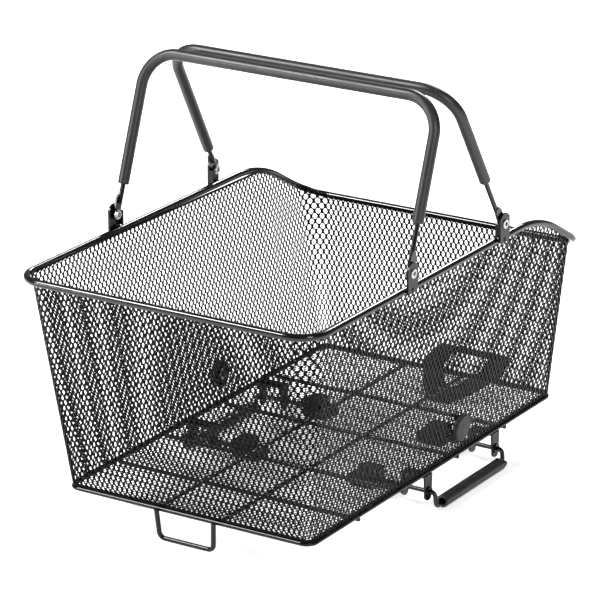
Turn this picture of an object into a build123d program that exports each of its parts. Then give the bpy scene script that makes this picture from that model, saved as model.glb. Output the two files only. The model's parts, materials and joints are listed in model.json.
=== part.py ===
"""Bicycle luggage-carrier basket of expanded steel mesh, with two carrying handles and two rail clamps.

Frame: +X is the rider's right, +Y points to the saddle, +Z is up. The origin lies on the plane of the
carrier's deck, where the cross wires rest on the rails, below the middle of the rim. Millimetres.
"""
from build123d import *
import os
from math import cos, sin, radians, atan2

os.makedirs("parts", exist_ok=True)

# --- Driving dimensions -------------------------------------------------------------------------
# Rim: centreline of the round tube
RIM_TUBE = 6.5
RIM_HALF_X = 152.0
RIM_HALF_Y = 240.0
RIM_Z = 209.2
RIM_CORNER = 27.0
SADDLE_RIM_Z = 160.0          # the rim slopes down to the saddle end, to clear the saddle
DIP_START_Y = 152.5
DIP_BEND = 150.0

# Floor wires
WIRE = 4.0
FRAME_HALF_X = 127.0
FRAME_REAR_Y = -200.5
FRAME_FRONT_Y = 232.0
FRAME_CORNER = 10.0
CROSS_Z = WIRE / 2            # cross wires touch the deck plane
FRAME_Z = 1.5 * WIRE          # frame wire and long wires lie on the cross wires
CROSS_Y = (-120.0, -43.5, 54.5, 143.0)
CROSS_OVERHANG = 0.5
LONG_WIRE_X = 32.0

# Expanded mesh
MESH = 0.8
MESH_TOP_GAP = 0.3            # between the mesh and the inside of the rim tube
MESH_ABOVE_AXIS = 2.0         # how far the mesh rises above the tube's centreline
FLOOR_Z = FRAME_Z + WIRE / 2
WALL_FOOT_CORNER = 8.0

# Rear loop: the bow that a spring flap holds, with its two ends standing against the frame wire
LOOP_WIRE = 4.5
LOOP_TOP_HALF_X = 30.0
LOOP_BOTTOM_HALF_X = 28.2
LOOP_TOP_Y = -204.9
LOOP_BOTTOM_Y = -202.5
LOOP_TOP_Z = 7.3
LOOP_BOTTOM_Z = -20.2
LOOP_CORNER = 6.0

# Front hook: a moulding that hangs from the frame wire, turns and rises to a ring-shaped tip
HOOK_THICK = 3.0
HOOK_LOW_Z = -29.9            # where the middles of the neck and the rising plate would meet
HOOK_TIP_Z = 0.8
HOOK_TIP_Y = 311.0
HOOK_TURN = 5.0
HOOK_NECK_HALF_X = 9.0
HOOK_WAIST = (17.0, 243.0)    # half width and Y of the plate's outline
HOOK_HIP = (27.0, 255.0)
HOOK_SPREAD_HALF_X = 42.0
HOOK_SPREAD_Y = (281.0, 298.0)
HOOK_TIP_HALF_X = 37.0
HOOK_BAR = 5.5
HOOK_HOLE_END = (6.0, 256.0)  # half width and Y of the narrow end of the hole
HOOK_HOLE_HALF_X = 21.0
HOOK_HOLE_WIDE_Y = 283.0
HOOK_CORNER = 8.0
HOOK_CLIP = 2.5               # wall of the clip round the frame wire

# Carrying handles
HANDLE_WIRE = 4.5
HANDLE_BEND = 32.0
PIVOT_Z = 224.2
PADDLE_THICK = 2.0
PADDLE_WIDTH = 9.5
PADDLE_LENGTH = 19.0
GRIP_FOAM = 10.4
FOAM_END_ROUND = 1.8
REAR_PIVOT_Y = -82.2
REAR_LEAN = 20.1              # degrees from upright, towards the saddle
REAR_LEG = 151.0
REAR_HALF_X = 152.0
REAR_FOAM_START = (28.0, 43.0)    # distance of the foam from the pivots, left and right
FRONT_PIVOT_Y = 80.3
FRONT_LEAN = 30.4             # degrees from upright, towards the rear
FRONT_LEG = 162.3
FRONT_HALF_X = 147.5
FRONT_FOAM_START = (27.0, 53.0)

# Handle brackets and their rivets
BRACKET_SHEET = 2.0
BRACKET_WIDTH = 16.5
BRACKET_BELOW_PIVOT = 17.5
BRACKET_ABOVE_PIVOT = 10.0
BRACKET_FOOT_CORNER = 3.0
LIP_DEPTH = 3.8               # the inner edge is bent in, and stops the leaning handle
RIB_LENGTH = 4.4
RIB_MARGIN = 0.5
RIB_WIDTH = 3.0
RIB_HEIGHT = 0.8
RIVET_R = 3.0
RIVET_BORE_R = 2.1
RIVET_HEAD_R = 4.4
RIVET_HEAD = 1.2
WASHER_R = 4.6
WASHER = 0.8
TACK_R = 1.3                  # small rivets that tack each bracket, just above the rim tube
TACK_DROP = 10.9
TACK_REACH = 1.6
RUNNING = 0.05                # radial clearance of what turns or slides
END_GAP = 0.4                 # between parts that face each other and move

# Side caps
CAP_R = 13.0
CAP_THICK = 4.6
CAP_DOME = 1.2
CAP_STEM_R = 3.0
CAP_STEM = 3.4
CAP_CLIP_R = 5.5
CAP_CLIP = 1.2
CAP_Z = 33.0
CAP_Y = 52.0

# Rail clamps
ARM_Y = (-2.0, 122.0)
ARM_Z = -12.0
ARM_END_X = 64.0
BAIL_WIRE = 4.2
BAIL_DROP_X = 135.5
BAIL_GRIP_X = 137.0
BAIL_GRIP_Z = -25.4
BAIL_CORNER = 4.4
BAIL_FRONT_CORNER = 8.0       # the grip runs on round this bend
SLEEVE_R = 6.0
SLEEVE_BORE_R = 3.8
SLEEVE_LIFT = 1.6             # the wire lies low in the loose sleeve
SLEEVE_RIB = 0.4
SLEEVE_RIBS = 14
SLEEVE_START_Y = 8.5
SLEEVE_BEND = 50.0            # degrees of the front bend that the sleeve covers
GUIDE_SHEET = 2.0
GUIDE_WIDTH = 13.0
GUIDE_TIP_WIDTH = 10.0
GUIDE_INNER_X = 104.0         # middles of the two plates
GUIDE_OUTER_X = 128.0
GUIDE_TOP_Z = 4.0
GUIDE_TIP_Z = -20.5
COLLAR_R = 4.6
COLLAR = 1.0
RAIL_R = 5.0
RAIL_X = 55.0
RAIL_Z = -RAIL_R
JAW_BACK_X = 77.0
JAW_NOSE_X = 48.0
JAW_HALF_Y = 9.0
JAW_TOP_Z = -0.6
JAW_LOW_Z = -19.5
JAW_ROUND = 2.5
SPRING_R = 3.9
SPRING_WIRE = 1.0
SPRING_TURNS = 7

SIDES = {"right": 1, "left": -1}


def save(piece, label):
    """Label a finished piece and write it as one STEP file."""
    piece.part.label = label
    export_step(piece.part, f"parts/{label}.step")
    print(label, len(piece.part.solids()), "solids", round(piece.part.volume), "mm3")


def mirrored(piece, side):
    """The piece as it is on the right, or mirrored to the left."""
    if side == "right":
        return piece.part
    return mirror(piece.part, about=Plane.YZ)


# --- Rim ------------------------------------------------------------------------------------------
def rim_points():
    """Corner points of the rim's centreline, from the middle of the rear end round and back."""
    right = [
        (RIM_HALF_X, -RIM_HALF_Y, RIM_Z),
        (RIM_HALF_X, DIP_START_Y, RIM_Z),
        (RIM_HALF_X, RIM_HALF_Y, SADDLE_RIM_Z),
    ]
    left = [(-x, y, z) for x, y, z in reversed(right)]
    return [(0, -RIM_HALF_Y, RIM_Z)] + right + left + [(0, -RIM_HALF_Y, RIM_Z)]


RIM_RADII = [0, RIM_CORNER, DIP_BEND, RIM_CORNER, RIM_CORNER, DIP_BEND, RIM_CORNER]

with BuildPart() as rim:
    with BuildLine() as rim_path:
        FilletPolyline(*rim_points(), radius=RIM_RADII)
    with BuildSketch(Plane(origin=rim_path.line @ 0, z_dir=rim_path.line % 0)):
        Circle(RIM_TUBE / 2)
    sweep()

# The rim is two bent lengths that meet halfway along the sides
for end, side in {"rear": Keep.TOP, "front": Keep.BOTTOM}.items():
    with BuildPart() as rim_half:
        add(rim.part)
        split(bisect_by=Plane.XZ, keep=side)
    save(rim_half, f"{end}_rim")


# --- Expanded mesh: floor and four walls ------------------------------------------------------------
TOP_INSET = RIM_TUBE / 2 + MESH_TOP_GAP
DIP_SLOPE = atan2(RIM_Z - SADDLE_RIM_Z, RIM_HALF_Y - DIP_START_Y)
FRONT_CORNER_Y = RIM_HALF_Y - RIM_CORNER * cos(DIP_SLOPE)          # where the sloping side ends
FRONT_CORNER_Z = SADDLE_RIM_Z + RIM_CORNER * sin(DIP_SLOPE)
DIP_CUT = DIP_BEND * (1 / cos(DIP_SLOPE / 2) - 1)                  # how far the bend cuts below its corner
WALL_TOP_X = RIM_HALF_X - TOP_INSET
WALL_LEAN = atan2(WALL_TOP_X - FRAME_HALF_X, RIM_Z + MESH_ABOVE_AXIS - FLOOR_Z)
CAP_X = FRAME_HALF_X + (CAP_Z - FLOOR_Z) * sin(WALL_LEAN) / cos(WALL_LEAN)
CAP_PLANE = Plane(origin=(CAP_X, CAP_Y, CAP_Z), x_dir=(0, 1, 0), z_dir=(cos(WALL_LEAN), 0, -sin(WALL_LEAN)))
FRAME_MID_Y = (FRAME_REAR_Y + FRAME_FRONT_Y) / 2
FRAME_LENGTH = FRAME_FRONT_Y - FRAME_REAR_Y


def strip(foot, top, turn):
    """Cross-section of the mesh: an upright strip from the floor's edge to the rim, facing along turn."""
    inward = Vector(-cos(radians(turn)), -sin(radians(turn)), 0) * MESH
    foot, top = Vector(*foot), Vector(*top)
    return Face(Wire.make_polygon([foot, top, top + inward, foot + inward]))


def corner_strip(end, turn):
    """Cross-section of the mesh in a right-hand corner, turned from the side (0) to the end wall (90)."""
    across, along = cos(radians(turn)), sin(radians(turn))
    foot_x = FRAME_HALF_X - WALL_FOOT_CORNER * (1 - across)
    top_x = RIM_HALF_X - RIM_CORNER + (RIM_CORNER - TOP_INSET) * across
    if end == "rear":
        foot_y = FRAME_REAR_Y + WALL_FOOT_CORNER * (1 - along)
        top_y = -RIM_HALF_Y + RIM_CORNER - (RIM_CORNER - TOP_INSET) * along
        return strip((foot_x, foot_y, FLOOR_Z), (top_x, top_y, RIM_Z + MESH_ABOVE_AXIS), -turn)
    foot_y = FRAME_FRONT_Y - WALL_FOOT_CORNER * (1 - along)
    top_y = FRONT_CORNER_Y + (RIM_CORNER * cos(DIP_SLOPE) - TOP_INSET) * along
    top_z = FRONT_CORNER_Z - RIM_CORNER * sin(DIP_SLOPE) * along
    return strip((foot_x, foot_y, FLOOR_Z), (top_x, top_y, top_z + MESH_ABOVE_AXIS), turn)


def side_strip(y):
    """Cross-section of the right-hand wall under the bend of the rim, in the plane of the level wall."""
    top_z = RIM_Z + MESH_ABOVE_AXIS - DIP_CUT
    top_x = FRAME_HALF_X + (top_z - FLOOR_Z) * sin(WALL_LEAN) / cos(WALL_LEAN)
    return strip((FRAME_HALF_X, y, FLOOR_Z), (top_x, y, top_z), 0)


SIDE_PANELS = {
    "wall": (corner_strip("rear", 0), side_strip(DIP_START_Y)),
    "shoulder": (side_strip(DIP_START_Y), corner_strip("front", 0)),
}
QUARTER_TURN = 90
CORNER_SECTIONS = [QUARTER_TURN * k / 4 for k in range(5)]

for name, (start, finish) in SIDE_PANELS.items():
    with BuildPart() as panel:
        loft([start, finish], ruled=True)
        with Locations(CAP_PLANE):
            Cylinder(CAP_STEM_R, 4 * CAP_STEM, mode=Mode.SUBTRACT)
    for side in SIDES:
        with BuildPart() as placed:
            add(mirrored(panel, side))
        save(placed, f"mesh_{side}_{name}")

for end in ("rear", "front"):
    with BuildPart() as corner:
        loft([corner_strip(end, turn) for turn in CORNER_SECTIONS])
    for side in SIDES:
        with BuildPart() as placed:
            add(mirrored(corner, side))
        save(placed, f"mesh_{end}_{side}_corner")
    flat_end = corner_strip(end, QUARTER_TURN)
    with BuildPart() as end_wall:
        loft([flat_end, mirror(flat_end, about=Plane.YZ)], ruled=True)
    save(end_wall, f"mesh_{end}_wall")

with BuildPart() as mesh_floor:
    with BuildSketch(Plane.XY.offset(FLOOR_Z)):
        with Locations((0, FRAME_MID_Y)):
            RectangleRounded(
                2 * (FRAME_HALF_X - 2 * MESH), FRAME_LENGTH - 4 * MESH, WALL_FOOT_CORNER - 2 * MESH
            )
    extrude(amount=MESH)
save(mesh_floor, "mesh_floor")


# --- Floor wires ------------------------------------------------------------------------------------
with BuildPart() as bottom_frame:
    with BuildLine() as frame_path:
        FilletPolyline(
            (0, FRAME_REAR_Y, FRAME_Z), (FRAME_HALF_X, FRAME_REAR_Y, FRAME_Z),
            (FRAME_HALF_X, FRAME_FRONT_Y, FRAME_Z), (-FRAME_HALF_X, FRAME_FRONT_Y, FRAME_Z),
            (-FRAME_HALF_X, FRAME_REAR_Y, FRAME_Z), (0, FRAME_REAR_Y, FRAME_Z),
            radius=[0] + 4 * [FRAME_CORNER],
        )
    with BuildSketch(Plane(origin=frame_path.line @ 0, z_dir=frame_path.line % 0)):
        Circle(WIRE / 2)
    sweep()
save(bottom_frame, "bottom_frame_wire")

LONG_START_Y = FRAME_REAR_Y + WIRE / 2 + 0.05
LONG_END_Y = FRAME_FRONT_Y - WIRE / 2 - 0.05
with BuildPart() as long_wires:
    with BuildSketch(Plane.XZ.offset(-LONG_START_Y)):
        with Locations((LONG_WIRE_X, FRAME_Z), (-LONG_WIRE_X, FRAME_Z)):
            Circle(WIRE / 2)
    extrude(amount=-(LONG_END_Y - LONG_START_Y))
save(long_wires, "long_wires")

with BuildPart() as cross_wires:
    with BuildSketch(Plane.YZ.offset(-FRAME_HALF_X - CROSS_OVERHANG)):
        with Locations(*[(y, CROSS_Z) for y in CROSS_Y]):
            Circle(WIRE / 2)
    extrude(amount=2 * (FRAME_HALF_X + CROSS_OVERHANG))
    fillet(cross_wires.edges().filter_by(GeomType.CIRCLE), WIRE / 8)
save(cross_wires, "cross_wires")

with BuildPart() as rear_loop:
    with BuildLine() as loop_path:
        FilletPolyline(
            (LOOP_TOP_HALF_X, LOOP_TOP_Y, LOOP_TOP_Z),
            (LOOP_BOTTOM_HALF_X, LOOP_BOTTOM_Y, LOOP_BOTTOM_Z),
            (-LOOP_BOTTOM_HALF_X, LOOP_BOTTOM_Y, LOOP_BOTTOM_Z),
            (-LOOP_TOP_HALF_X, LOOP_TOP_Y, LOOP_TOP_Z),
            radius=LOOP_CORNER,
        )
    with BuildSketch(Plane(origin=loop_path.line @ 0, z_dir=loop_path.line % 0)):
        Circle(LOOP_WIRE / 2)
    sweep()
    loop_ends = rear_loop.faces().filter_by(GeomType.PLANE)
    fillet(loop_ends.edges(), LOOP_WIRE / 8)
save(rear_loop, "rear_loop")


# --- Front hook ---------------------------------------------------------------------------------------
CLIP_R = WIRE / 2 + HOOK_CLIP
HOOK_TOP_Z = FRAME_Z - WIRE / 2 - 1.0
HOOK_NECK_Y = FRAME_FRONT_Y

with BuildPart() as front_hook:
    # Side view: neck down from the frame wire, turn, and the rising plate
    with BuildSketch(Plane.YZ):
        with BuildLine() as hook_line:
            FilletPolyline(
                (HOOK_NECK_Y, HOOK_TOP_Z),
                (HOOK_NECK_Y, HOOK_LOW_Z),
                (HOOK_TIP_Y, HOOK_TIP_Z),
                radius=HOOK_TURN,
            )
        trace(line_width=HOOK_THICK)
    extrude(amount=HOOK_SPREAD_HALF_X, both=True)
    # Top view: narrow at the neck, widest before the tip
    with BuildSketch() as hook_plan:
        with BuildLine() as hook_side:
            Polyline(
                (0, HOOK_NECK_Y - HOOK_TURN), (HOOK_NECK_HALF_X, HOOK_NECK_Y - HOOK_TURN),
                (HOOK_NECK_HALF_X, HOOK_NECK_Y), HOOK_WAIST, HOOK_HIP, (HOOK_SPREAD_HALF_X, HOOK_SPREAD_Y[0]),
                (HOOK_SPREAD_HALF_X, HOOK_SPREAD_Y[1]), (HOOK_TIP_HALF_X, HOOK_TIP_Y + HOOK_THICK),
                (0, HOOK_TIP_Y + HOOK_THICK),
            )
            mirror(about=Plane.YZ)
        make_face()
        fillet(hook_plan.vertices().filter_by(lambda v: v.Y > HOOK_WAIST[1] and abs(v.X) > 1), HOOK_CORNER)
    extrude(amount=2 * HOOK_SPREAD_HALF_X, both=True, mode=Mode.INTERSECT)
    with BuildSketch() as hook_hole:
        with BuildLine():
            Polyline(
                (0, HOOK_HOLE_END[1]), HOOK_HOLE_END, (HOOK_HOLE_HALF_X, HOOK_HOLE_WIDE_Y),
                (HOOK_HOLE_HALF_X, HOOK_TIP_Y - HOOK_BAR), (0, HOOK_TIP_Y - HOOK_BAR),
            )
            mirror(about=Plane.YZ)
        make_face()
        fillet(hook_hole.vertices().filter_by(lambda v: abs(v.X) > 1), HOOK_CORNER / 2)
    extrude(amount=2 * HOOK_SPREAD_HALF_X, both=True, mode=Mode.SUBTRACT)
    # The clip holds the wire from below and from both sides
    with BuildSketch(Plane.YZ):
        with Locations((HOOK_NECK_Y, FRAME_Z)):
            Circle(CLIP_R)
        with Locations((HOOK_NECK_Y, FLOOR_Z - 0.1)):
            Rectangle(4 * CLIP_R, 4 * CLIP_R, align=(Align.CENTER, Align.MIN), mode=Mode.SUBTRACT)
    extrude(amount=HOOK_NECK_HALF_X, both=True)
    with BuildSketch(Plane.YZ):
        with Locations((HOOK_NECK_Y, FRAME_Z)):
            Circle(WIRE / 2)
    extrude(amount=2 * HOOK_NECK_HALF_X, both=True, mode=Mode.SUBTRACT)
save(front_hook, "front_hook")


# --- Handle brackets ------------------------------------------------------------------------------------
BRACKET_X = RIM_HALF_X + RIM_TUBE / 2         # inner face, against the outside of the tube
PADDLE_OUTER_X = BRACKET_X - END_GAP
PADDLE_INNER_X = PADDLE_OUTER_X - PADDLE_THICK
LIP_INNER = BRACKET_WIDTH / 2 - BRACKET_SHEET
PIVOTS = {"rear": (REAR_PIVOT_Y, REAR_LEAN), "front": (FRONT_PIVOT_Y, -FRONT_LEAN)}


def lip_top(lean):
    """Height above the pivot at which the leaning paddle's edge meets the lip."""
    angle = radians(abs(lean))
    return (LIP_INNER - END_GAP - PADDLE_WIDTH / 2 / cos(angle)) * cos(angle) / sin(angle)


for end, (pivot_y, lean) in PIVOTS.items():
    inward = 1 if lean > 0 else -1
    lip_low = RIM_Z + RIM_TUBE / 2 + END_GAP
    lip_high = PIVOT_Z + lip_top(lean)
    with BuildPart() as bracket:
        with BuildSketch(Plane.YZ.offset(BRACKET_X)):
            with Locations((pivot_y, PIVOT_Z)):
                Circle(BRACKET_ABOVE_PIVOT)
                with Locations((0, -BRACKET_BELOW_PIVOT / 2)):
                    Rectangle(2 * BRACKET_ABOVE_PIVOT, BRACKET_BELOW_PIVOT, mode=Mode.ADD)
            with Locations((pivot_y, PIVOT_Z)):
                Rectangle(BRACKET_WIDTH, 4 * BRACKET_BELOW_PIVOT, mode=Mode.INTERSECT)
                Circle(RIVET_R, mode=Mode.SUBTRACT)
            with Locations((pivot_y, PIVOT_Z - TACK_DROP)):
                Circle(TACK_R, mode=Mode.SUBTRACT)
        extrude(amount=BRACKET_SHEET)
        foot_edges = bracket.edges().filter_by(Axis.X).group_by(Axis.Z)[0]
        fillet(foot_edges, BRACKET_FOOT_CORNER)
        with BuildSketch(Plane.YZ.offset(BRACKET_X)):
            with Locations((pivot_y + inward * (LIP_INNER + BRACKET_SHEET / 2), (lip_low + lip_high) / 2)):
                Rectangle(BRACKET_SHEET, lip_high - lip_low)
        extrude(amount=-LIP_DEPTH)
        with BuildSketch(Plane.YZ.offset(BRACKET_X + BRACKET_SHEET)):
            with Locations((pivot_y, PIVOT_Z - BRACKET_BELOW_PIVOT + RIB_LENGTH / 2 + RIB_MARGIN)):
                SlotOverall(RIB_LENGTH, RIB_WIDTH, rotation=90)
        extrude(amount=RIB_HEIGHT, taper=30)
    for side in SIDES:
        with BuildPart() as placed:
            add(mirrored(bracket, side))
        save(placed, f"{end}_{side}_bracket")

PIVOT_SPOTS = [(sign, pivot_y) for sign in SIDES.values() for pivot_y, _ in PIVOTS.values()]
WASHER_FACE_X = PADDLE_INNER_X - END_GAP      # outer face of the washer
TAIL_FACE_X = WASHER_FACE_X - WASHER

with BuildPart() as pivot_rivets:
    for sign, pivot_y in PIVOT_SPOTS:
        with Locations(Plane(origin=(sign * TAIL_FACE_X, pivot_y, PIVOT_Z), z_dir=(sign, 0, 0))):
            outer = BRACKET_X + BRACKET_SHEET - TAIL_FACE_X
            Cylinder(RIVET_R, outer, align=(Align.CENTER, Align.CENTER, Align.MIN))
            Cylinder(RIVET_HEAD_R - 0.6, RIVET_HEAD, align=(Align.CENTER, Align.CENTER, Align.MAX))
            with Locations((0, 0, outer)):
                Cylinder(RIVET_HEAD_R, RIVET_HEAD, align=(Align.CENTER, Align.CENTER, Align.MIN))
            with Locations((0, 0, outer / 2)):
                Cylinder(RIVET_BORE_R, 2 * outer, mode=Mode.SUBTRACT)
    rims = pivot_rivets.edges().filter_by(lambda e: e.geom_type == GeomType.CIRCLE and e.radius > RIVET_R + 1)
    outer_rims = rims.filter_by(lambda e: abs(e.center().X) > BRACKET_X + BRACKET_SHEET + RIVET_HEAD / 2)
    fillet(outer_rims, RIVET_HEAD / 2)
save(pivot_rivets, "pivot_rivets")

with BuildPart() as pivot_washers:
    for sign, pivot_y in PIVOT_SPOTS:
        with Locations(Plane(origin=(sign * TAIL_FACE_X, pivot_y, PIVOT_Z), z_dir=(sign, 0, 0))):
            Cylinder(WASHER_R, WASHER, align=(Align.CENTER, Align.CENTER, Align.MIN))
            Cylinder(RIVET_R, 4 * WASHER, mode=Mode.SUBTRACT)
save(pivot_washers, "pivot_washers")

with BuildPart() as bracket_tacks:
    for sign, pivot_y in PIVOT_SPOTS:
        spot = Plane(origin=(sign * BRACKET_X, pivot_y, PIVOT_Z - TACK_DROP), z_dir=(sign, 0, 0))
        with Locations(spot):
            with Locations((0, 0, -TACK_REACH)):
                Cylinder(TACK_R, TACK_REACH + BRACKET_SHEET, align=(Align.CENTER, Align.CENTER, Align.MIN))
save(bracket_tacks, "bracket_tacks")


# --- Carrying handles -----------------------------------------------------------------------------------
def handle_plane(pivot_y, lean):
    """Plane of a handle: X across the basket, Y up along its legs, origin between the pivots."""
    angle = radians(lean)
    return Plane(origin=(0, pivot_y, PIVOT_Z), x_dir=(1, 0, 0), z_dir=(0, -cos(angle), sin(angle)))


def paddle_plane(sign, pivot_y, lean):
    """Inner face of one flattened end: X up along the leg, Z outwards."""
    angle = radians(lean)
    return Plane(
        origin=(sign * PADDLE_INNER_X, pivot_y, PIVOT_Z),
        x_dir=(0, sin(angle), cos(angle)),
        z_dir=(sign, 0, 0),
    )


HANDLES = {
    "rear": (REAR_PIVOT_Y, REAR_LEAN, REAR_LEG, REAR_HALF_X, REAR_FOAM_START),
    "front": (FRONT_PIVOT_Y, -FRONT_LEAN, FRONT_LEG, FRONT_HALF_X, FRONT_FOAM_START),
}
PADDLE_SHOULDER = PADDLE_LENGTH - 5.0
WIRE_START = 10.0

for end, (pivot_y, lean, leg, half_x, foam_start) in HANDLES.items():
    foot_x = PADDLE_INNER_X - PADDLE_THICK / 4
    with BuildPart() as handle_wire:
        with BuildLine(handle_plane(pivot_y, lean)) as bow:
            FilletPolyline(
                (-foot_x, WIRE_START), (-half_x, leg), (half_x, leg), (foot_x, WIRE_START), radius=HANDLE_BEND
            )
        with BuildSketch(Plane(origin=bow.line @ 0, z_dir=bow.line % 0)):
            Circle(HANDLE_WIRE / 2)
        sweep()
        for sign in SIDES.values():
            with BuildSketch(paddle_plane(sign, pivot_y, lean)):
                Circle(PADDLE_WIDTH / 2)
                with Locations((PADDLE_SHOULDER / 2, 0)):
                    Rectangle(PADDLE_SHOULDER, PADDLE_WIDTH)
                with BuildLine():
                    Polyline(
                        (PADDLE_SHOULDER, -PADDLE_WIDTH / 2), (PADDLE_LENGTH, -HANDLE_WIRE / 2),
                        (PADDLE_LENGTH, HANDLE_WIRE / 2), (PADDLE_SHOULDER, PADDLE_WIDTH / 2), close=True,
                    )
                make_face()
                Circle(RIVET_R + RUNNING, mode=Mode.SUBTRACT)
            extrude(amount=PADDLE_THICK)
    save(handle_wire, f"{end}_handle_wire")

    with BuildPart() as foam:
        with BuildLine(handle_plane(pivot_y, lean)) as grip:
            left_x = foot_x + (half_x - foot_x) * (foam_start[0] - WIRE_START) / (leg - WIRE_START)
            right_x = foot_x + (half_x - foot_x) * (foam_start[1] - WIRE_START) / (leg - WIRE_START)
            FilletPolyline(
                (-left_x, foam_start[0]), (-half_x, leg), (half_x, leg), (right_x, foam_start[1]),
                radius=HANDLE_BEND,
            )
        with BuildSketch(Plane(origin=grip.line @ 0, z_dir=grip.line % 0)):
            Circle(GRIP_FOAM / 2)
            Circle(HANDLE_WIRE / 2 + RUNNING, mode=Mode.SUBTRACT)
        sweep()
        foam_ends = foam.faces().filter_by(GeomType.PLANE).edges().filter_by(
            lambda e: e.radius > HANDLE_WIRE / 2 + 1
        )
        fillet(foam_ends, FOAM_END_ROUND)
    save(foam, f"{end}_handle_foam")


# --- Side caps ------------------------------------------------------------------------------------------
with BuildPart() as cap:
    with Locations(CAP_PLANE.offset(0.05)):
        Cylinder(CAP_R, CAP_THICK - CAP_DOME, align=(Align.CENTER, Align.CENTER, Align.MIN))
    with BuildSketch(CAP_PLANE.offset(0.05 + CAP_THICK - CAP_DOME)):
        Circle(CAP_R)
    extrude(amount=CAP_DOME, taper=40)
    with Locations(CAP_PLANE):
        Cylinder(CAP_STEM_R, CAP_STEM, align=(Align.CENTER, Align.CENTER, Align.MAX))
        Cylinder(CAP_STEM_R, 0.2)
with BuildPart() as cap_clip:
    with Locations(CAP_PLANE.offset(-MESH - 0.1)):
        Cylinder(CAP_CLIP_R, CAP_CLIP, align=(Align.CENTER, Align.CENTER, Align.MAX))
        Cylinder(CAP_STEM_R, 4 * CAP_CLIP, mode=Mode.SUBTRACT)

for side in SIDES:
    with BuildPart() as placed:
        add(mirrored(cap, side))
    save(placed, f"{side}_side_cap")
with BuildPart() as cap_clips:
    add(mirrored(cap_clip, "right"))
    add(mirrored(cap_clip, "left"))
save(cap_clips, "cap_clips")


# --- Rail clamps ----------------------------------------------------------------------------------------
def on_both_arms(shape):
    """Copies of a shape modelled at Y = 0, one for each arm of the right clamp."""
    return [Pos(0, y, 0) * shape for y in ARM_Y]


with BuildPart() as guide:
    with BuildSketch(Plane.XZ.offset(-GUIDE_WIDTH / 2)):
        with BuildLine():
            Polyline(
                (GUIDE_INNER_X - GUIDE_SHEET / 2, GUIDE_TIP_Z),
                (GUIDE_INNER_X - GUIDE_SHEET / 2, GUIDE_TOP_Z),
                (GUIDE_OUTER_X + GUIDE_SHEET / 2, GUIDE_TOP_Z),
                (GUIDE_OUTER_X + GUIDE_SHEET / 2, GUIDE_TIP_Z),
                (GUIDE_OUTER_X - GUIDE_SHEET / 2, GUIDE_TIP_Z),
                (GUIDE_OUTER_X - GUIDE_SHEET / 2, GUIDE_TOP_Z - GUIDE_SHEET),
                (GUIDE_INNER_X + GUIDE_SHEET / 2, GUIDE_TOP_Z - GUIDE_SHEET),
                (GUIDE_INNER_X + GUIDE_SHEET / 2, GUIDE_TIP_Z), close=True,
            )
        make_face()
    extrude(amount=GUIDE_WIDTH)
    # The plates narrow towards round tips
    with BuildSketch(Plane.YZ) as plate_shape:
        with BuildLine():
            Polyline(
                (-GUIDE_TIP_WIDTH / 2, GUIDE_TIP_Z), (GUIDE_TIP_WIDTH / 2, GUIDE_TIP_Z),
                (GUIDE_WIDTH / 2, GUIDE_TOP_Z), (-GUIDE_WIDTH / 2, GUIDE_TOP_Z), close=True,
            )
        make_face()
        fillet(plate_shape.vertices().group_by(Axis.Y)[0], GUIDE_TIP_WIDTH / 2 - 0.5)
    extrude(amount=2 * GUIDE_OUTER_X, mode=Mode.INTERSECT)
    with BuildSketch(Plane.YZ):
        with Locations((0, ARM_Z)):
            Circle(BAIL_WIRE / 2 + RUNNING)
    extrude(amount=2 * GUIDE_OUTER_X, mode=Mode.SUBTRACT)

with BuildPart() as guides:
    add(on_both_arms(guide.part))

with BuildPart() as bail:
    with BuildLine() as bail_path:
        FilletPolyline(
            (ARM_END_X, ARM_Y[0], ARM_Z),
            (BAIL_DROP_X, ARM_Y[0], ARM_Z),
            (BAIL_GRIP_X, ARM_Y[0], BAIL_GRIP_Z),
            (BAIL_GRIP_X, ARM_Y[1], BAIL_GRIP_Z),
            (BAIL_DROP_X, ARM_Y[1], ARM_Z),
            (ARM_END_X, ARM_Y[1], ARM_Z),
            radius=[BAIL_CORNER, BAIL_CORNER, BAIL_FRONT_CORNER, BAIL_CORNER],
        )
    with BuildSketch(Plane(origin=bail_path.line @ 0, z_dir=bail_path.line % 0)):
        Circle(BAIL_WIRE / 2)
    sweep()

SLEEVE_END_Y = ARM_Y[1] - BAIL_FRONT_CORNER
GRIP_PLANE = Plane(origin=(BAIL_GRIP_X, 0, BAIL_GRIP_Z + SLEEVE_LIFT), x_dir=(0, 1, 0), z_dir=(1, 0, 0))
with BuildPart() as sleeve:
    with BuildLine(GRIP_PLANE) as sleeve_path:
        straight = Line((SLEEVE_START_Y, 0), (SLEEVE_END_Y, 0))
        JernArc(straight @ 1, straight % 1, BAIL_FRONT_CORNER - SLEEVE_LIFT, SLEEVE_BEND)
    with BuildSketch(Plane(origin=sleeve_path.line @ 0, z_dir=sleeve_path.line % 0)):
        Circle(SLEEVE_R - SLEEVE_RIB)
        with PolarLocations(SLEEVE_R - SLEEVE_RIB, SLEEVE_RIBS):
            Circle(2 * SLEEVE_RIB)
        Circle(SLEEVE_R, mode=Mode.INTERSECT)
        Circle(SLEEVE_BORE_R, mode=Mode.SUBTRACT)
    sweep()

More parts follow.
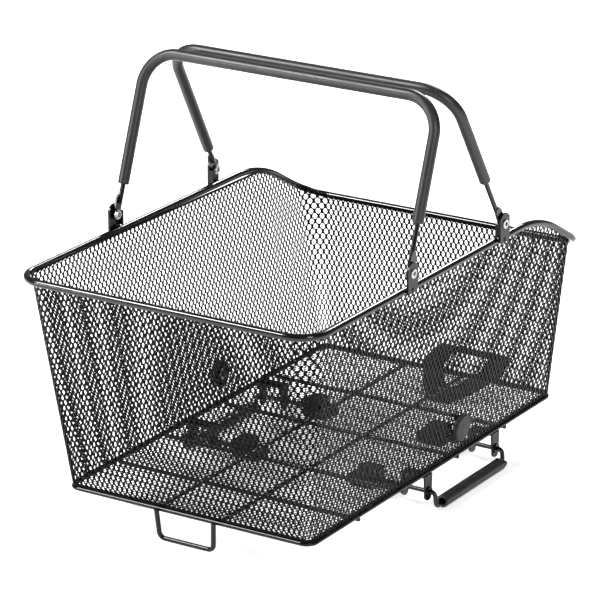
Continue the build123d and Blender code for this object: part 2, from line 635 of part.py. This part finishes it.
with BuildPart() as jaw:
    with BuildSketch(Plane.XZ.offset(-JAW_HALF_Y)):
        with BuildLine():
            Polyline(
                (RAIL_X, JAW_TOP_Z), (JAW_BACK_X, JAW_TOP_Z), (JAW_BACK_X, JAW_LOW_Z),
                (JAW_NOSE_X + 4, JAW_LOW_Z), (JAW_NOSE_X, JAW_LOW_Z + 4), (JAW_NOSE_X, RAIL_Z - RAIL_R),
                (RAIL_X, RAIL_Z - RAIL_R), close=True,
            )
        make_face()
        with Locations((RAIL_X, RAIL_Z)):
            Circle(RAIL_R, mode=Mode.SUBTRACT)
    extrude(amount=2 * JAW_HALF_Y)
    corners = jaw.edges().filter_by(Axis.Y).filter_by(lambda e: e.center().X > RAIL_X + RAIL_R)
    fillet(corners, JAW_ROUND)
    with BuildSketch(Plane.YZ.offset(ARM_END_X)):
        with Locations((0, ARM_Z)):
            Circle(BAIL_WIRE / 2)
    extrude(amount=JAW_BACK_X, mode=Mode.SUBTRACT)

with BuildPart() as jaws:
    add(on_both_arms(jaw.part))

SPRING_START_X = JAW_BACK_X + END_GAP
SPRING_LENGTH = GUIDE_INNER_X - GUIDE_SHEET / 2 - END_GAP - SPRING_START_X
with BuildPart() as spring:
    with BuildLine() as coil:
        Helix(
            (SPRING_LENGTH - SPRING_WIRE) / SPRING_TURNS, SPRING_LENGTH - SPRING_WIRE, SPRING_R,
            center=(SPRING_START_X + SPRING_WIRE / 2, 0, ARM_Z), direction=(1, 0, 0),
        )
    with BuildSketch(Plane(origin=coil.line @ 0, z_dir=coil.line % 0)):
        Circle(SPRING_WIRE / 2)
    sweep(is_frenet=True)
with BuildPart() as springs:
    add(on_both_arms(spring.part))

with BuildPart() as collar:
    with BuildSketch(Plane.YZ.offset(GUIDE_OUTER_X + GUIDE_SHEET / 2 + END_GAP)):
        with Locations((0, ARM_Z)):
            Circle(COLLAR_R)
            Circle(BAIL_WIRE / 2, mode=Mode.SUBTRACT)
    extrude(amount=COLLAR)
with BuildPart() as collars:
    add(on_both_arms(collar.part))

for name, piece in (
    ("guides", guides), ("clamp_wire", bail), ("clamp_grip", sleeve), ("clamp_jaws", jaws),
    ("clamp_springs", springs), ("clamp_collars", collars),
):
    for side in SIDES:
        with BuildPart() as placed:
            add(mirrored(piece, side))
        save(placed, f"{side}_{name}")
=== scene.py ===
import json
from math import atan2, cos, pi, radians, sin

import bpy
import numpy as np
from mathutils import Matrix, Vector


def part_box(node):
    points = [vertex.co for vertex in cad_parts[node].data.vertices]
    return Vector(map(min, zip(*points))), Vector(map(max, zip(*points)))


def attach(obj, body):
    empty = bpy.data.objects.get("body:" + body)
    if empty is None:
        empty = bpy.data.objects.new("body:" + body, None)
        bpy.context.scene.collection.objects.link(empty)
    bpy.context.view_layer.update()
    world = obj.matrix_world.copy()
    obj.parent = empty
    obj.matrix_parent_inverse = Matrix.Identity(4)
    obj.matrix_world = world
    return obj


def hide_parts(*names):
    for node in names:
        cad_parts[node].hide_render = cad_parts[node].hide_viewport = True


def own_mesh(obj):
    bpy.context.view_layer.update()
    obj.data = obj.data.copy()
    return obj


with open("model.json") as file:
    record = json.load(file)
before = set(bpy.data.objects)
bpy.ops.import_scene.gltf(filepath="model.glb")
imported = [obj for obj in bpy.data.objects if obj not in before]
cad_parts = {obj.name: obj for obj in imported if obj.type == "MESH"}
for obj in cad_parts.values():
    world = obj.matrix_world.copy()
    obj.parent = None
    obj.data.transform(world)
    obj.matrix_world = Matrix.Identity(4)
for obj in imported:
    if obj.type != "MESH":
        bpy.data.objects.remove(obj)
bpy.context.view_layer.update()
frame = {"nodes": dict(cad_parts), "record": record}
NODES = frame["nodes"]
MM = 0.001

# ---------------------------------------------------------------------------------------------------
# Measures of the basket, read from the frame where it gives them
# ---------------------------------------------------------------------------------------------------
rear_rim_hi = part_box("rear_rim")[1]
front_rim_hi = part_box("front_rim")[1]
wire_lo, wire_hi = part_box("bottom_frame_wire")
floor_lo, floor_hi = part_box("mesh_floor")

# Rim tube: the middle of its sides and ends, and its run down to the saddle end
TUBE = 6.5 * MM
RIM_X = rear_rim_hi.x - TUBE / 2
RIM_Y = front_rim_hi.y - TUBE / 2
RIM_Z = rear_rim_hi.z - TUBE / 2
SADDLE_Z = 160.0 * MM      # the tube's middle at the saddle end
CORNER = 27.0 * MM         # radius of the tube's corners
DIP_Y = 152.5 * MM         # where the straight slope would meet the level sides
DIP_BEND = 150.0 * MM      # radius of the bend there

# Mesh: its foot stands over the middle of the frame wire, its top against the tube's inner side
WIRE = 4.0 * MM
FOOT_X = wire_hi.x - WIRE / 2
FOOT_REAR = wire_lo.y + WIRE / 2
FOOT_FRONT = wire_hi.y - WIRE / 2
FOOT_Z = floor_lo.z
FOOT_CORNER = 8.0 * MM     # radius of the mesh's corners at its foot
INSET = TUBE / 2 + 0.3 * MM
ABOVE = 2.0 * MM           # how far the mesh rises above the middle of the tube
SHEET = 0.8 * MM           # thickness of the walls

PITCH = 5.45 * MM          # across the openings
SIDE_STRETCH = 1.14        # the openings are this much wider along the sides
ROW = 5.15 * MM            # from one staggered row to the next
HOLE_X = 1.88 * MM         # half the width and height of an opening
HOLE_Z = 2.9 * MM
POINT = 3.55 * MM          # half the height of a cell
RELIEF = 0.10 * MM         # how far an opening's two sides stand out and in
WELD = 0.002 * MM          # corners of neighbouring cells closer than this are one
FLOOR_HOLE = 1.14          # the floor's openings, against the walls'
FLOOR_SHEET = 0.45 * MM    # and the floor's thickness


# ---------------------------------------------------------------------------------------------------
# Materials
# ---------------------------------------------------------------------------------------------------
NOISE_LOW, NOISE_HIGH = 0.3, 0.7          # most of a noise lies between these
SPOT_LOW, SPOT_HIGH = 0.56, 0.74          # dust shows as its noise passes from one to the other
SPOT_SCALE = 4                            # the spots' noise, against the broad one
BUMP_DISTANCE = 0.2 * MM
SMOOTHEST = 0.03


def material(name, color, rough, metallic=0.0, spec=0.5, noise_scale=60.0, bump=0.15, rough_spread=0.12,
             color_spread=0.25, dust=0.0, dust_color=(0.3, 0.29, 0.27), fine_scale=900.0):
    """A procedural finish: colour and roughness drift with a broad noise, a fine one makes bumps."""
    made = bpy.data.materials.new(name)
    made.use_nodes = True
    nodes, link = made.node_tree.nodes, made.node_tree.links
    surface = nodes["Principled BSDF"]
    surface.inputs["Metallic"].default_value = metallic
    surface.inputs["Specular IOR Level"].default_value = spec
    place = nodes.new("ShaderNodeTexCoord")

    def noise(scale, detail):
        made_noise = nodes.new("ShaderNodeTexNoise")
        made_noise.inputs["Scale"].default_value = scale
        made_noise.inputs["Detail"].default_value = detail
        link.new(place.outputs["Object"], made_noise.inputs["Vector"])
        return made_noise

    def spread(source, from_low, from_high, to_low, to_high):
        made_range = nodes.new("ShaderNodeMapRange")
        made_range.inputs["From Min"].default_value = from_low
        made_range.inputs["From Max"].default_value = from_high
        made_range.inputs["To Min"].default_value = to_low
        made_range.inputs["To Max"].default_value = to_high
        link.new(source.outputs["Fac"], made_range.inputs["Value"])
        return made_range.outputs["Result"]

    broad = noise(noise_scale, 6.0)
    broad.inputs["Roughness"].default_value = 0.6
    fine = noise(fine_scale, 3.0)

    ramp = nodes.new("ShaderNodeValToRGB")
    ends = ramp.color_ramp.elements
    ends[0].position = NOISE_LOW
    ends[0].color = (*[c * (1 - color_spread) for c in color], 1)
    ends[1].position = NOISE_HIGH
    ends[1].color = (*[min(1.0, c * (1 + color_spread)) for c in color], 1)
    link.new(broad.outputs["Fac"], ramp.inputs["Fac"])
    base = ramp.outputs["Color"]
    if dust:
        spots = noise(noise_scale * SPOT_SCALE, 8.0)
        mix = nodes.new("ShaderNodeMix")
        mix.data_type = "RGBA"
        mix.inputs["B"].default_value = (*dust_color, 1)
        link.new(spread(spots, SPOT_LOW, SPOT_HIGH, 0.0, dust), mix.inputs["Factor"])
        link.new(base, mix.inputs["A"])
        base = mix.outputs["Result"]
    link.new(base, surface.inputs["Base Color"])

    smoothest, roughest = max(SMOOTHEST, rough - rough_spread), min(1.0, rough + rough_spread)
    link.new(spread(broad, NOISE_LOW, NOISE_HIGH, smoothest, roughest), surface.inputs["Roughness"])

    relief = nodes.new("ShaderNodeBump")
    relief.inputs["Strength"].default_value = bump
    relief.inputs["Distance"].default_value = BUMP_DISTANCE
    link.new(fine.outputs["Fac"], relief.inputs["Height"])
    link.new(relief.outputs["Normal"], surface.inputs["Normal"])
    return made


# The paints, foam, rubber and plastics are nearly black, so what is seen of them is mostly their shine
PAINT = dict(spec=0.25, noise_scale=45.0, bump=0.12, fine_scale=1400.0, dust=0.015, rough_spread=0.06)
SHINE = {**PAINT, "spec": 0.45, "bump": 0.08}
FINISH = {
    "rim_paint": material("rim_paint", (0.0020, 0.0020, 0.0022), 0.14, **SHINE),
    "wire_paint": material("wire_paint", (0.0020, 0.0020, 0.0022), 0.16, **PAINT),
    "mesh_paint": material("mesh_paint", (0.0010, 0.0010, 0.0011), 0.26, **{**PAINT, "spec": 0.06}),
    "bracket_paint": material("bracket_paint", (0.0050, 0.0050, 0.0053), 0.22, **PAINT),
    "handle_paint": material("handle_paint", (0.0030, 0.0030, 0.0032), 0.14, **SHINE),
    "zinc_wire": material("zinc_wire", (0.0030, 0.0030, 0.0032), 0.16, **SHINE),
    "hook_plastic": material("hook_plastic", (0.0050, 0.0050, 0.0053), 0.40, spec=0.2, noise_scale=30,
                             fine_scale=1800, bump=0.25),
    "zinc": material("zinc", (0.50, 0.50, 0.49), 0.30, metallic=1.0, noise_scale=220, fine_scale=2500,
                     bump=0.12, rough_spread=0.15, dust=0.25, dust_color=(0.10, 0.09, 0.08)),
    "spring_steel": material("spring_steel", (0.10, 0.10, 0.10), 0.32, metallic=1.0, noise_scale=200,
                             fine_scale=2500, bump=0.15),
    "foam": material("foam", (0.0125, 0.0125, 0.0130), 0.40, spec=0.50, noise_scale=50, fine_scale=1900,
                     bump=0.28, rough_spread=0.05, color_spread=0.08, dust=0.02),
    "grip_rubber": material("grip_rubber", (0.012, 0.012, 0.0125), 0.34, spec=0.60, noise_scale=90,
                            fine_scale=1700, bump=0.25, rough_spread=0.08, dust=0.04),
    "jaw_plastic": material("jaw_plastic", (0.0040, 0.0040, 0.0042), 0.45, spec=0.2, noise_scale=60,
                            fine_scale=1500, bump=0.3),
    "cap_plastic": material("cap_plastic", (0.020, 0.020, 0.021), 0.55, spec=0.35, noise_scale=80,
                            fine_scale=2200, bump=0.3, dust=0.05),
}

# Every CAD node takes the finish that its record names
for part in frame["record"]["subparts"]:
    node = NODES[part["node"]]
    node.data.materials.clear()
    node.data.materials.append(FINISH[part["material_slot"]])


def piece(name, verts, faces, slot, body="basket", smooth=False):
    """A mesh object that rides on a body and takes a slot's finish."""
    mesh = bpy.data.meshes.new(name)
    mesh.from_pydata([tuple(v) for v in verts], [], [tuple(f) for f in faces])
    mesh.validate()
    mesh.update()
    if smooth:
        mesh.shade_smooth()
    obj = bpy.data.objects.new(name, mesh)
    bpy.context.collection.objects.link(obj)
    mesh.materials.append(FINISH[slot])
    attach(obj, body)
    return obj


# ---------------------------------------------------------------------------------------------------
# Expanded mesh: a staggered lattice over the funnel of the four walls, and over the floor
# ---------------------------------------------------------------------------------------------------
SLOPE = atan2(RIM_Z - SADDLE_Z, RIM_Y - DIP_Y)
FRONT_Y = RIM_Y - CORNER * cos(SLOPE)
FRONT_Z = SADDLE_Z + CORNER * sin(SLOPE)
DIP_TOP_Z = RIM_Z + ABOVE - DIP_BEND * (1 / cos(SLOPE / 2) - 1)    # the mesh follows the rim's bend down
DIP_TOP_X = FOOT_X + (RIM_X - INSET - FOOT_X) * (DIP_TOP_Z - FOOT_Z) / (RIM_Z + ABOVE - FOOT_Z)
CORNER_STEPS = 12


def stations():
    """Foot, top and facing angle of the wall, from the rear's middle by the right to the front's."""
    found = [((0, FOOT_REAR, FOOT_Z), (0, -RIM_Y + INSET, RIM_Z + ABOVE), -pi / 2)]
    for i in range(CORNER_STEPS + 1):
        a = -pi / 2 + pi / 2 * i / CORNER_STEPS
        foot = (FOOT_X - FOOT_CORNER * (1 - cos(a)), FOOT_REAR + FOOT_CORNER * (1 + sin(a)), FOOT_Z)
        top = (RIM_X - CORNER + (CORNER - INSET) * cos(a),
               -RIM_Y + CORNER + (CORNER - INSET) * sin(a),
               RIM_Z + ABOVE)
        found.append((foot, top, a))
    found.append(((FOOT_X, DIP_Y, FOOT_Z), (DIP_TOP_X, DIP_Y, DIP_TOP_Z), 0.0))
    for i in range(CORNER_STEPS + 1):
        a = pi / 2 * i / CORNER_STEPS
        foot = (FOOT_X - FOOT_CORNER * (1 - cos(a)), FOOT_FRONT - FOOT_CORNER * (1 - sin(a)), FOOT_Z)
        top = (RIM_X - CORNER + (CORNER - INSET) * cos(a),
               FRONT_Y + (CORNER * cos(SLOPE) - INSET) * sin(a),
               FRONT_Z - CORNER * sin(SLOPE) * sin(a) + ABOVE)
        found.append((foot, top, a))
    found.append(((0, FOOT_FRONT, FOOT_Z), (0, RIM_Y - INSET, SADDLE_Z + ABOVE), pi / 2))
    return found


feet, tops, turns = [np.array(column, float) for column in zip(*stations())]
middles = (feet + tops) / 2
steps = np.linalg.norm(np.diff(middles[:, :2], axis=0), axis=1)
along = np.concatenate([[0], np.cumsum(steps)])
HALF_LOOP = along[-1]
LOOP = 2 * HALF_LOOP


def wall_ends(s):
    """Foot, top and facing angle at s as if on the right half, and whether s is on the left."""
    s = np.mod(s, LOOP)
    left = s > HALF_LOOP
    at = np.where(left, LOOP - s, s)
    foot = np.stack([np.interp(at, along, feet[:, k]) for k in range(3)], -1)
    top = np.stack([np.interp(at, along, tops[:, k]) for k in range(3)], -1)
    return foot, top, np.interp(at, along, turns), left


def wall_height(s):
    """Length of the wall from foot to top, measured along its slope."""
    foot, top, _, _ = wall_ends(s)
    return np.linalg.norm(top - foot, axis=-1)


def wall_point(s, v, out):
    """Points of the wall: s along the loop from the rear's middle, v up the wall, out from its skin."""
    foot, top, turn, left = wall_ends(s)
    share = (v / np.linalg.norm(top - foot, axis=-1))[..., None]
    p = foot + (top - foot) * share
    p[..., 0] += out * np.cos(turn)
    p[..., 1] += out * np.sin(turn)
    p[..., 0] = np.where(left, -p[..., 0], p[..., 0])
    return p


# One cell: eight points on its border and eight on its opening, each following the other round
BORDER = np.array([(PITCH / 2, 0), (PITCH / 2, ROW - POINT), (0, POINT), (-PITCH / 2, ROW - POINT),
                   (-PITCH / 2, 0), (-PITCH / 2, POINT - ROW), (0, -POINT), (PITCH / 2, POINT - ROW)])
HOLE_TURNS = [radians(a) for a in (0, 52, 90, 128, 180, 232, 270, 308)]
HOLE = np.array([(HOLE_X * cos(a), HOLE_Z * sin(a)) for a in HOLE_TURNS])
TILT = np.array([RELIEF * cos(a) for a in HOLE_TURNS])


def lattice(centres, place, lowest, highest, opening=1.0, sheet=SHEET):
    """Vertices and faces of the cells at these centres, cut off below lowest and above highest(x).

    place maps (x, y, out) to space. A cell has 32 points: border and opening, outside and then inside.
    """
    c = np.asarray(centres, float)
    border = c[:, None, :] + BORDER[None]
    hole = c[:, None, :] + HOLE[None] * opening
    both = np.concatenate([border, hole], 1)
    top = highest(both[..., 0])
    both[..., 1] = np.clip(both[..., 1], lowest, top)
    tilt = np.concatenate([np.zeros(8), TILT])[None, :]
    tilt = np.where((both[..., 1] <= lowest) | (both[..., 1] >= top), 0, tilt)
    outer = place(both[..., 0], both[..., 1], tilt)
    inner = place(both[..., 0], both[..., 1], tilt - sheet)
    verts = np.concatenate([outer, inner], 1).reshape(-1, 3)
    quads = []
    for k in range(8):
        n = (k + 1) % 8
        quads += [(k, n, 8 + n, 8 + k), (16 + n, 16 + k, 24 + k, 24 + n), (8 + k, 8 + n, 24 + n, 24 + k)]
    faces = (np.arange(len(c))[:, None, None] * 32 + np.array(quads)[None]).reshape(-1, 4)
    keys = np.round(verts / WELD).astype(np.int64)
    _, first, same = np.unique(keys, axis=0, return_index=True, return_inverse=True)
    faces = same.reshape(-1)[faces]
    verts = verts[first]
    # cut cells leave faces with corners in one place, and faces of no area
    kept = []
    for f in faces.tolist():
        ring = [v for i, v in enumerate(f) if v != f[i - 1]]
        if len(set(ring)) >= 3 and len(set(ring)) == len(ring):
            kept.append(ring)
    return verts, kept


# The spans of the loop that are nodes of their own in the frame
REAR_TURN = (along[1], along[1 + CORNER_STEPS])
SIDE_END = along[2 + CORNER_STEPS]
FRONT_TURN = (along[3 + CORNER_STEPS], along[3 + 2 * CORNER_STEPS])
spans = {
    "mesh_front_wall": (FRONT_TURN[1], LOOP - FRONT_TURN[1]),
    "mesh_rear_wall": (LOOP - REAR_TURN[0], LOOP + REAR_TURN[0]),
}
for label, (start, end) in {
    "mesh_rear_{}_corner": REAR_TURN,
    "mesh_{}_wall": (REAR_TURN[1], SIDE_END),
    "mesh_{}_shoulder": (SIDE_END, FRONT_TURN[0]),
    "mesh_front_{}_corner": FRONT_TURN,
}.items():
    spans[label.format("right")] = (start, end)
    spans[label.format("left")] = (LOOP - end, LOOP - start)

# Columns are counted round the loop: each is one pitch wide at the ends and wider along the sides
stretch = np.interp(along, [*REAR_TURN, *FRONT_TURN], [1, SIDE_STRETCH, SIDE_STRETCH, 1])
density = 2 / (stretch[1:] + stretch[:-1]) / PITCH
counted = np.concatenate([[0], np.cumsum(np.diff(along) * density)])
COLUMNS = int(round(counted[-1] / 2)) * 4
counted *= COLUMNS / 2 / counted[-1]


def column_place(t):
    """Length along the loop at which column number t stands."""
    turn, t = np.divmod(t, COLUMNS)
    s = np.interp(np.minimum(t, COLUMNS - t), counted, along)
    return turn * LOOP + np.where(t > COLUMNS / 2, LOOP - s, s)


SKIRT = 0.9 * MM                           # where the openings start above the foot
HEM = 1.5 * MM                             # and stop below the top
LEAST_CUT = 0.5 * MM                       # cells that show less than this are left out
TALLEST_WALL = 220 * MM
FIRST_WALL_ROW = SKIRT + 0.62 * POINT

for label, (start, end) in spans.items():
    # columns run twice round, because the rear wall's span passes the start of the loop
    centres = []
    for j in range(int(TALLEST_WALL / ROW)):
        y = FIRST_WALL_ROW + j * ROW
        for i in range(2 * COLUMNS):
            t = i + (0.5 if j % 2 else 0.0)
            s = column_place(t)
            if start <= s < end and y - POINT < wall_height(s) - HEM - LEAST_CUT:
                centres.append((t * PITCH, y))
    verts, faces = lattice(centres, lambda x, y, out: wall_point(column_place(x / PITCH), y, out), SKIRT,
                           lambda x: wall_height(column_place(x / PITCH)) - HEM)
    wall = piece(f"{label}_lattice", verts, faces, "mesh_paint")
    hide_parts(label)


def band(name, low, high, swell):
    """A solid strip along the whole loop, from low to high up the wall.

    A low below zero counts down from the wall's top, and so does a high of zero or less.
    """
    s = np.concatenate([along, LOOP - along[-2:0:-1]])
    height = wall_height(s)
    lows = low + (height if low < 0 else 0)
    highs = high + (height if high <= 0 else 0)
    rings = [wall_point(s, lows, swell), wall_point(s, highs, swell),
             wall_point(s, highs, -SHEET - swell), wall_point(s, lows, -SHEET - swell)]
    count = len(s)
    verts = np.concatenate(rings)
    faces = [(r * count + i, r * count + (i + 1) % count, ((r + 1) % 4) * count + (i + 1) % count,
              ((r + 1) % 4) * count + i) for r in range(4) for i in range(count)]
    piece(name, verts, faces, "mesh_paint")


# The selvedges overlap the first and last cells a little and stand proud of them
band("mesh_hem", low=-1.9 * MM, high=0.0, swell=0.12 * MM)
band("mesh_skirt", low=0.0, high=1.4 * MM, swell=0.10 * MM)

# Floor: the same lattice, lying down and trimmed to the rounded rectangle of the frame wire
FLOOR_INSET = 0.2 * MM
ROUND = 6.0 * MM
edge_x = min(-floor_lo.x, floor_hi.x) - FLOOR_INSET
edge_lo, edge_hi = floor_lo.y + FLOOR_INSET, floor_hi.y - FLOOR_INSET


def floor_point(x, y, out):
    """Points of the floor, out above its upper skin; what lies past its rounded edge is pulled back."""
    x = np.clip(x, -edge_x, edge_x)
    y = np.clip(y, edge_lo, edge_hi)
    cx = np.clip(x, -edge_x + ROUND, edge_x - ROUND)
    cy = np.clip(y, edge_lo + ROUND, edge_hi - ROUND)
    reach = np.hypot(x - cx, y - cy)
    pull = ROUND / np.maximum(reach, ROUND)
    x = cx + (x - cx) * pull
    y = cy + (y - cy) * pull
    return np.stack([x, y, floor_hi.z + out * np.ones_like(x)], -1)


FIRST_FLOOR_ROW = edge_lo + 0.6 * POINT
LEAST_WIDTH = 0.4 * PITCH                  # how far inside the edge a cell's middle has to lie
centres = []
for j in range(int((edge_hi - edge_lo) / ROW) + 1):
    for i in range(-int(edge_x / PITCH) - 1, int(edge_x / PITCH) + 2):
        x = (i + (0.5 if j % 2 else 0.0)) * PITCH
        if abs(x) < edge_x - LEAST_WIDTH:
            centres.append((x, FIRST_FLOOR_ROW + j * ROW))
verts, faces = lattice(centres, floor_point, edge_lo, lambda x: np.full(np.shape(x), edge_hi),
                       opening=FLOOR_HOLE, sheet=FLOOR_SHEET)
floor_mesh = piece("mesh_floor_lattice", verts, faces, "mesh_paint")
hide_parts("mesh_floor")

# A solid edge round the floor, a little proud of the cells
EDGE_WIDTH, EDGE_OUT, EDGE_UP = 2.2 * MM, 0.15 * MM, 0.1 * MM
QUARTER_STEPS = 6
outline = []
for cx, cy, quarter in ((1, 1, 0), (-1, 1, 1), (-1, -1, 2), (1, -1, 3)):
    for k in range(QUARTER_STEPS + 1):
        a = pi / 2 * (quarter + k / QUARTER_STEPS)
        px = (edge_x - ROUND) * cx
        py = (edge_hi - ROUND) if cy > 0 else (edge_lo + ROUND)
        outline.append((px, py, cos(a), sin(a)))
verts = []
for z in (floor_hi.z + EDGE_UP, floor_lo.z):
    for r in (ROUND + EDGE_OUT, ROUND - EDGE_WIDTH):
        verts += [(px + r * ca, py + r * sa, z) for px, py, ca, sa in outline]
count = len(outline)
faces = []
for i in range(count):
    n = (i + 1) % count
    faces += [(i, n, count + n, count + i), (2 * count + n, 2 * count + i, 3 * count + i, 3 * count + n),
              (n, i, 2 * count + i, 2 * count + n), (count + i, count + n, 3 * count + n, 3 * count + i)]
piece("mesh_floor_edge", verts, faces, "mesh_paint")

# ---------------------------------------------------------------------------------------------------
# Clamp springs: coils in place of the springs' nodes; the real springs shorten as the clamp opens
# ---------------------------------------------------------------------------------------------------
COIL_STEPS, COIL_SIDES, COIL_TURNS = 30, 8, 7
COIL_WIRE_R = 0.5 * MM
COIL_CROWDING = 0.0225                     # how far turns shift along the coil, against its length
AXIS = Vector((1, 0, 0))
for side, sign in (("right", 1), ("left", -1)):
    lo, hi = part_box(f"{side}_clamp_springs")
    coil_r = (hi.z - lo.z) / 2 - COIL_WIRE_R
    z = (lo.z + hi.z) / 2
    run = hi.x - lo.x - 2 * COIL_WIRE_R
    total = COIL_STEPS * COIL_TURNS
    verts, faces = [], []
    for y in (lo.y + coil_r + COIL_WIRE_R, hi.y - coil_r - COIL_WIRE_R):
        base = len(verts)
        for i in range(total + 1):
            # the turns at the ends and the middle lie closer together than the rest
            f = i / total
            x = lo.x + COIL_WIRE_R + run * (f - COIL_CROWDING * sin(4 * pi * f))
            a = 2 * pi * COIL_TURNS * f
            outward = Vector((0, cos(a), sin(a)))
            centre = Vector((x, y, z)) + outward * coil_r
            for k in range(COIL_SIDES):
                b = 2 * pi * k / COIL_SIDES
                verts.append(centre + outward * COIL_WIRE_R * cos(b) + AXIS * COIL_WIRE_R * sin(b))
        for i in range(total):
            for k in range(COIL_SIDES):
                n = (k + 1) % COIL_SIDES
                a0 = base + i * COIL_SIDES
                faces.append((a0 + k, a0 + n, a0 + COIL_SIDES + n, a0 + COIL_SIDES + k))
        faces.append(tuple(base + k for k in reversed(range(COIL_SIDES))))
        faces.append(tuple(base + total * COIL_SIDES + k for k in range(COIL_SIDES)))
    coil = piece(f"{side}_spring_coils", verts, faces, "spring_steel", smooth=True)
    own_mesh(coil)
    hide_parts(f"{side}_clamp_springs")

# ---------------------------------------------------------------------------------------------------
# Studio floor, light and camera
# ---------------------------------------------------------------------------------------------------
GROUND_GAP = 0.1 * MM
ground_z = min(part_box(n)[0].z for n in ("right_clamp_grip", "left_clamp_grip")) - GROUND_GAP
bpy.ops.mesh.primitive_plane_add(size=14, location=(0, 2, ground_z))
ground = bpy.context.object
ground.name = "studio_floor"
pale = bpy.data.materials.new("studio_floor")
pale.use_nodes = True
paint = pale.node_tree.nodes["Principled BSDF"].inputs
paint["Base Color"].default_value = (0.92, 0.92, 0.92, 1)
paint["Roughness"].default_value = 0.9
paint["Emission Color"].default_value = (1, 1, 1, 1)
paint["Emission Strength"].default_value = 0.62     # keeps the floor white where no lamp reaches
ground.data.materials.append(pale)

world = bpy.data.worlds.new("studio")
bpy.context.scene.world = world
world.use_nodes = True
sky = world.node_tree.nodes["Background"].inputs
sky["Color"].default_value = (1, 1, 1, 1)
sky["Strength"].default_value = 0.22
bpy.context.scene.view_settings.view_transform = "Standard"


def look(obj, direction):
    """Turns a lamp or camera to look in a direction."""
    obj.rotation_euler = Vector(direction).to_track_quat("-Z", "Y").to_euler()


def lamp(name, at, aim, size, watts):
    """A square soft lamp that looks from one point to another."""
    data = bpy.data.lights.new(name, "AREA")
    data.size = size
    data.energy = watts
    obj = bpy.data.objects.new(name, data)
    obj.location = at
    look(obj, Vector(aim) - Vector(at))
    bpy.context.collection.objects.link(obj)


lamp("key", (-1.6, -1.4, 2.4), (0, 0, 0.15), 0.8, 110)
lamp("fill", (2.8, -1.6, 1.8), (0, 0, 0.15), 0.8, 45)
lamp("back", (-0.6, 2.6, 2.0), (0, 0, 0.2), 0.8, 70)
lamp("side", (-1.7, -2.1, 0.7), (0, 0, 0.25), 0.4, 30)

CAMERA_AT = (1.64136, -2.63291, 1.23617)
CAMERA_ALONG = (-0.501205, 0.799361, -0.331385)
camera_data = bpy.data.cameras.new("camera")
camera_data.sensor_width = 36.0
camera_data.lens = 217.55
camera = bpy.data.objects.new("camera", camera_data)
camera.location = CAMERA_AT
look(camera, CAMERA_ALONG)
bpy.context.collection.objects.link(camera)
bpy.context.scene.camera = camera
